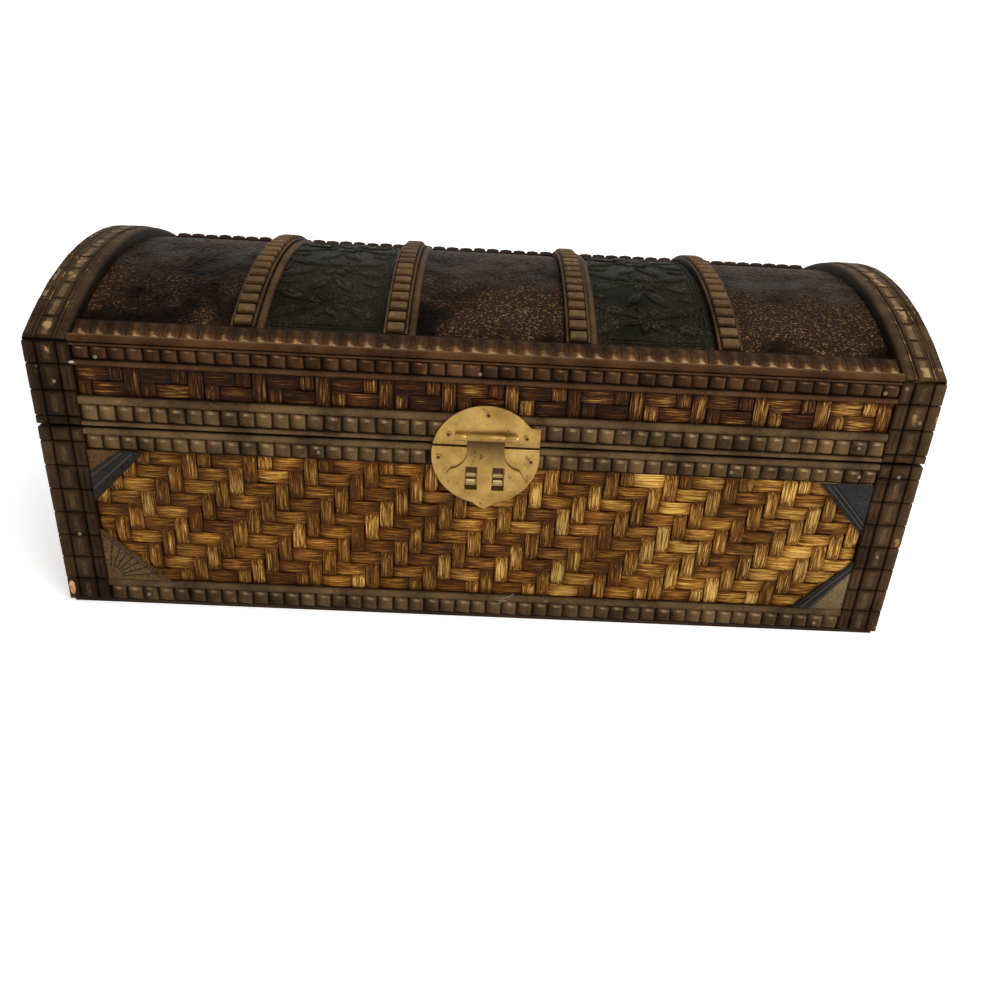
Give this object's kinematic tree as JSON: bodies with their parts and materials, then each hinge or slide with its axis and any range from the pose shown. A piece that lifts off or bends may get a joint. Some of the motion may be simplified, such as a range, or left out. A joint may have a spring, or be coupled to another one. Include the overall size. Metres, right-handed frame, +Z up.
{
  "type": "dome-topped storage box",
  "caption": "Small dome-topped tabletop storage chest with woven panels, notched wooden mouldings, leather-covered lid panels, and a round brass latch with a hinged hasp.",
  "frame": {"origin": "centre of the flat underside, midway between the front and back mouldings", "axes": "+X along the length towards the right end seen from the front, +Y towards the back, +Z up; the latch faces -Y"},
  "size_m": [0.35, 0.1604, 0.1385],
  "materials": {
    "trim_wood": "dark reddish-brown stain, satin, rubbed at the edges",
    "board_wood": "near-black stain, matte",
    "woven_strip": "golden brown plant-fibre strips in a twill weave, satin lacquer",
    "pebbled_leather": "brown-black pebbled, satin",
    "embossed_leather": "green-black, embossed, satin",
    "black_leather": "black, semi-gloss",
    "tan_leather": "tan to dark brown, matte",
    "aged_brass": "satin, tarnished"
  },
  "bodies": {
    "base": {"base_back_wall": "board_wood", "base_crown_rail_back": "trim_wood", "base_crown_rail_ends": "trim_wood", "base_crown_rail_front": "trim_wood", "base_floor": "board_wood", "base_foot_rail_back": "trim_wood", "base_foot_rail_ends": "trim_wood", "base_foot_rail_front": "trim_wood", "base_front_wall": "board_wood", "base_left_wall": "board_wood", "base_post_back_left": "trim_wood", "base_post_back_right": "trim_wood", "base_post_front_left": "trim_wood", "base_post_front_right": "trim_wood", "base_right_wall": "board_wood", "base_weave_back": "woven_strip", "base_weave_ends": "woven_strip", "base_weave_front": "woven_strip", "corner_patches": "tan_leather", "corner_straps": "black_leather", "hinge_base_leaves": "aged_brass", "hinge_pins": "aged_brass", "latch_base_pins": "aged_brass", "latch_base_plate": "aged_brass", "latch_staples": "aged_brass"},
    "lid": {"dome_bands": "trim_wood", "dome_panel_1": "pebbled_leather", "dome_panel_2": "embossed_leather", "dome_panel_3": "pebbled_leather", "dome_panel_4": "embossed_leather", "dome_panel_5": "pebbled_leather", "dome_rail_back": "trim_wood", "dome_rail_front": "trim_wood", "dome_shell": "board_wood", "end_band_left": "trim_wood", "end_band_right": "trim_wood", "gable_leathers": "black_leather", "hasp_pin": "aged_brass", "hinge_lid_leaves": "aged_brass", "latch_lid_pins": "aged_brass", "latch_lid_plate": "aged_brass", "lid_back_wall": "board_wood", "lid_crown_rail_back": "trim_wood", "lid_crown_rail_ends": "trim_wood", "lid_crown_rail_front": "trim_wood", "lid_foot_rail_back": "trim_wood", "lid_foot_rail_ends": "trim_wood", "lid_foot_rail_front": "trim_wood", "lid_front_wall": "board_wood", "lid_left_gable": "board_wood", "lid_post_back_left": "trim_wood", "lid_post_back_right": "trim_wood", "lid_post_front_left": "trim_wood", "lid_post_front_right": "trim_wood", "lid_right_gable": "board_wood", "lid_weave_back": "woven_strip", "lid_weave_ends": "woven_strip", "lid_weave_front": "woven_strip"},
    "hasp": {"hasp": "aged_brass"}
  },
  "joints": [
    {"name": "lid_hinge", "type": "hinge", "parent": "base", "child": "lid", "pos_m": [0, 0.0779, 0.0833], "axis": [-1, 0, 0], "range_deg": [0, 180]},
    {"name": "hasp_hinge", "type": "hinge", "parent": "lid", "child": "hasp", "pos_m": [0, -0.0788, 0.088], "axis": [-1, 0, 0], "range_deg": [0, 165]}
  ]
}
